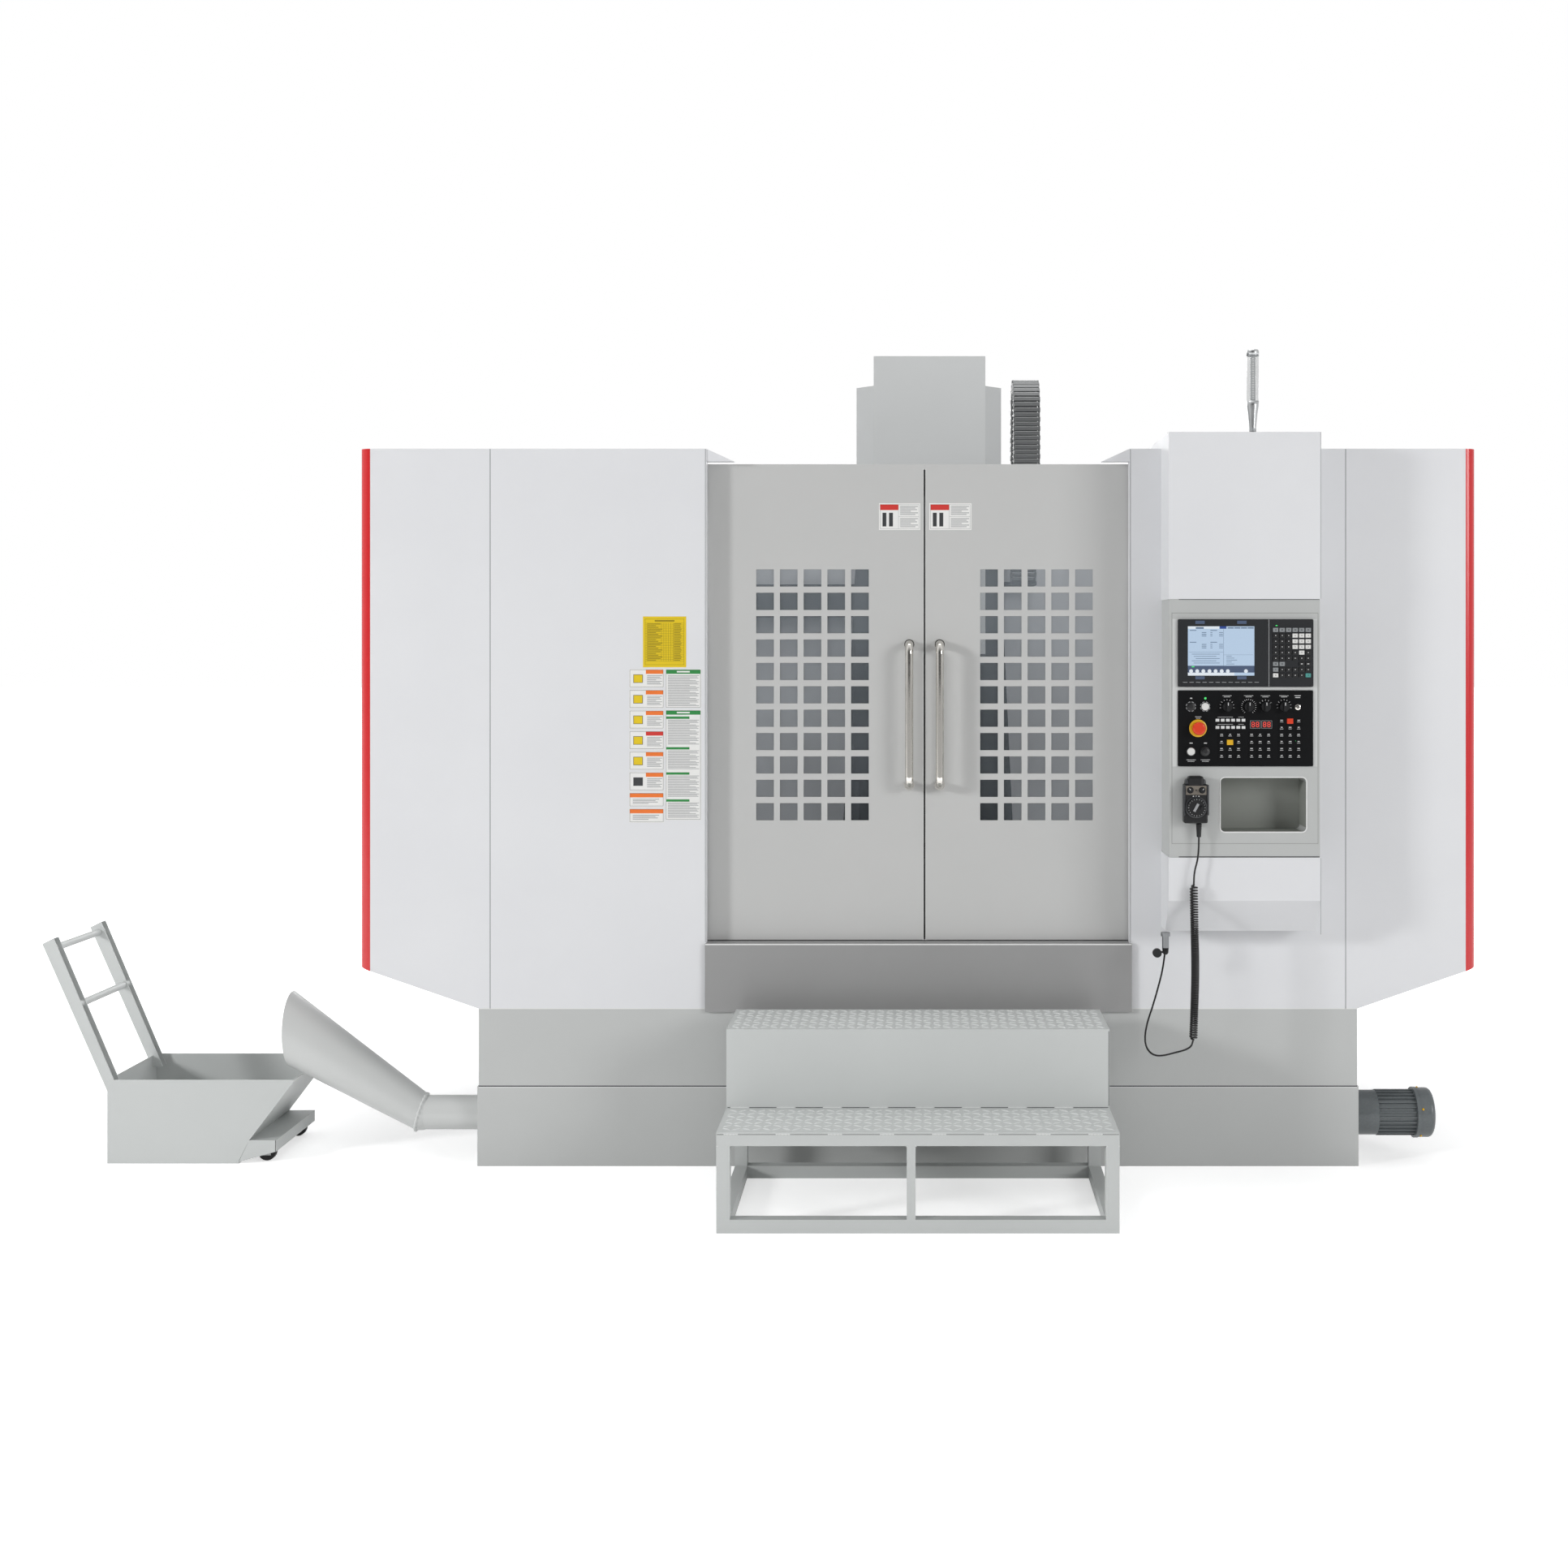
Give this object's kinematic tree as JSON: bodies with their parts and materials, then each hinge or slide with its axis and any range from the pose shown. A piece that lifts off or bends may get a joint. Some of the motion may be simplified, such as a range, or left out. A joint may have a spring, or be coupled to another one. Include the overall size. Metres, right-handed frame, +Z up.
{
  "type": "cnc machining center",
  "caption": "Enclosed vertical machining center: sliding doors with grid windows, three-axis table and head, operator station, chip screw, chip cart and step.",
  "frame": {"origin": "on the floor under the middle levelling pad, on the enclosure's centre line, level with the spindle axis in Y", "axes": "+Z up, -Y towards the operator, +X to the operator's right"},
  "size_m": [4.795, 3.022, 2.836],
  "materials": {
    "white_paint": "fine textured powder coat",
    "door_grey": "satin powder coat",
    "sill_grey": "satin powder coat",
    "base_grey": "satin powder coat",
    "red_trim": "gloss",
    "casting": "painted casting",
    "steel": "ground steel",
    "chrome": "polished",
    "pane": "tinted pane",
    "black_plastic": "moulded",
    "panel_black": "membrane overlay",
    "panel_grey": "satin powder coat",
    "stop_red": "gloss",
    "motor_grey": "enamel",
    "lamp": "clear lens",
    "rubber": "matte"
  },
  "bodies": {
    "machine": {"levelling_pads": "steel", "bed": "casting", "guide_rails": "steel", "column": "casting", "axis_servos": "black_plastic", "z_cover_lower": "casting", "coolant_tank": "base_grey", "chip_pan": "base_grey", "front_panels": "white_paint", "side_panels": "white_paint", "corner_trims": "red_trim", "sill_panel": "sill_grey", "door_header": "base_grey", "rear_panel": "white_paint", "electrical_cabinet": "white_paint", "station_hood": "white_paint", "station_base": "white_paint", "panel_box": "panel_grey", "display_unit": "black_plastic", "control_plate": "panel_black", "pendant": "black_plastic", "signal_lamp": "lamp", "cord_lead": "rubber", "cord_coil": "rubber", "cord_tail": "rubber", "cord_plug": "chrome", "cable_chain": "black_plastic", "chip_pipe": "base_grey", "gear_motor": "motor_grey", "operator_step": "base_grey"},
    "saddle": {"saddle": "casting", "saddle_rails": "steel", "x_servo": "black_plastic"},
    "table": {"table": "steel"},
    "head": {"headstock": "casting", "head_cover": "door_grey", "z_cover_upper": "casting"},
    "spindle": {"spindle": "steel"},
    "x_screw": {"x_ballscrew": "steel"},
    "y_screw": {"y_ballscrew": "steel"},
    "z_screw": {"z_ballscrew": "steel"},
    "magazine": {"magazine_carriage": "casting"},
    "carousel": {"tool_carousel": "steel"},
    "left_door": {"left_door": "door_grey", "left_window": "pane", "left_handle": "chrome"},
    "right_door": {"right_door": "door_grey", "right_window": "pane", "right_handle": "chrome"},
    "cabinet_door": {"cabinet_door": "white_paint"},
    "stop_button": {"stop_button": "stop_red"},
    "mode_knob": {"mode_knob": "black_plastic"},
    "feed_knob": {"feed_knob": "black_plastic"},
    "rapid_knob": {"rapid_knob": "black_plastic"},
    "spindle_knob": {"spindle_knob": "black_plastic"},
    "pendant_dial": {"pendant_dial": "black_plastic"},
    "auger": {"chip_auger": "steel"},
    "cart": {"chip_cart": "base_grey"},
    "front_wheel": {"front_caster_wheel": "rubber"},
    "rear_wheel": {"rear_caster_wheel": "rubber"}
  },
  "joints": [
    {"name": "saddle_travel", "type": "slide", "parent": "machine", "child": "saddle", "axis": [0, 1, 0], "range_m": [-0.3, 0.3]},
    {"name": "table_travel", "type": "slide", "parent": "saddle", "child": "table", "axis": [1, 0, 0], "range_m": [-0.6, 0.6]},
    {"name": "head_travel", "type": "slide", "parent": "machine", "child": "head", "axis": [0, 0, 1], "range_m": [-0.55, 0], "deforming": ["cable_chain"]},
    {"name": "spindle_spin", "type": "hinge", "parent": "head", "child": "spindle", "pos_m": [0.043, 0, 1.6], "axis": [0, 0, 1], "continuous": true},
    {"name": "x_screw_spin", "type": "hinge", "parent": "saddle", "child": "x_screw", "pos_m": [0.043, 0, 0.722], "axis": [1, 0, 0], "continuous": true},
    {"name": "y_screw_spin", "type": "hinge", "parent": "machine", "child": "y_screw", "pos_m": [0.043, 0, 0.545], "axis": [0, 1, 0], "continuous": true},
    {"name": "z_screw_spin", "type": "hinge", "parent": "machine", "child": "z_screw", "pos_m": [0.043, 0.825, 1.7], "axis": [0, 0, 1], "continuous": true},
    {"name": "magazine_travel", "type": "slide", "parent": "machine", "child": "magazine", "axis": [1, 0, 0], "range_m": [0, 0.743]},
    {"name": "carousel_spin", "type": "hinge", "parent": "magazine", "child": "carousel", "pos_m": [-1.1, 0, 1.58], "axis": [0, 0, 1], "continuous": true},
    {"name": "left_door_slide", "type": "slide", "parent": "machine", "child": "left_door", "axis": [-1, 0, 0], "range_m": [0, 0.64]},
    {"name": "right_door_slide", "type": "slide", "parent": "machine", "child": "right_door", "axis": [1, 0, 0], "range_m": [0, 0.6]},
    {"name": "cabinet_door_hinge", "type": "hinge", "parent": "machine", "child": "cabinet_door", "pos_m": [-1.5, 1.4083, 1.475], "axis": [0, 0, 1], "range_deg": [0, 110]},
    {"name": "stop_button_press", "type": "slide", "parent": "machine", "child": "stop_button", "axis": [0, 1, 0], "range_m": [0, 0.006]},
    {"name": "mode_knob_turn", "type": "hinge", "parent": "machine", "child": "mode_knob", "pos_m": [0.998, -1.092, 1.538], "axis": [0, 1, 0], "range_deg": [-120, 120]},
    {"name": "feed_knob_turn", "type": "hinge", "parent": "machine", "child": "feed_knob", "pos_m": [1.068, -1.092, 1.538], "axis": [0, 1, 0], "range_deg": [-135, 135]},
    {"name": "rapid_knob_turn", "type": "hinge", "parent": "machine", "child": "rapid_knob", "pos_m": [1.122, -1.092, 1.538], "axis": [0, 1, 0], "range_deg": [-60, 60]},
    {"name": "spindle_knob_turn", "type": "hinge", "parent": "machine", "child": "spindle_knob", "pos_m": [1.182, -1.092, 1.538], "axis": [0, 1, 0], "range_deg": [-90, 90]},
    {"name": "pendant_dial_turn", "type": "hinge", "parent": "machine", "child": "pendant_dial", "pos_m": [0.893, -1.135, 1.216], "axis": [0, 1, 0], "continuous": true},
    {"name": "auger_spin", "type": "hinge", "parent": "machine", "child": "auger", "pos_m": [0, -0.8, 0.155], "axis": [1, 0, 0], "continuous": true},
    {"name": "cart_roll", "type": "slide", "parent": "machine", "child": "cart", "axis": [-1, 0, 0], "range_m": [0, 0.6]},
    {"name": "front_wheel_spin", "type": "hinge", "parent": "cart", "child": "front_wheel", "pos_m": [-2.192, -0.825, 0.03], "axis": [0, 1, 0], "continuous": true},
    {"name": "rear_wheel_spin", "type": "hinge", "parent": "cart", "child": "rear_wheel", "pos_m": [-2.192, -0.515, 0.03], "axis": [0, 1, 0], "continuous": true}
  ],
  "couplings": [
    {"joint": "x_screw_spin", "follows": "table_travel", "rad_per_m": 314.16},
    {"joint": "y_screw_spin", "follows": "saddle_travel", "rad_per_m": 314.16},
    {"joint": "z_screw_spin", "follows": "head_travel", "rad_per_m": 314.16}
  ]
}
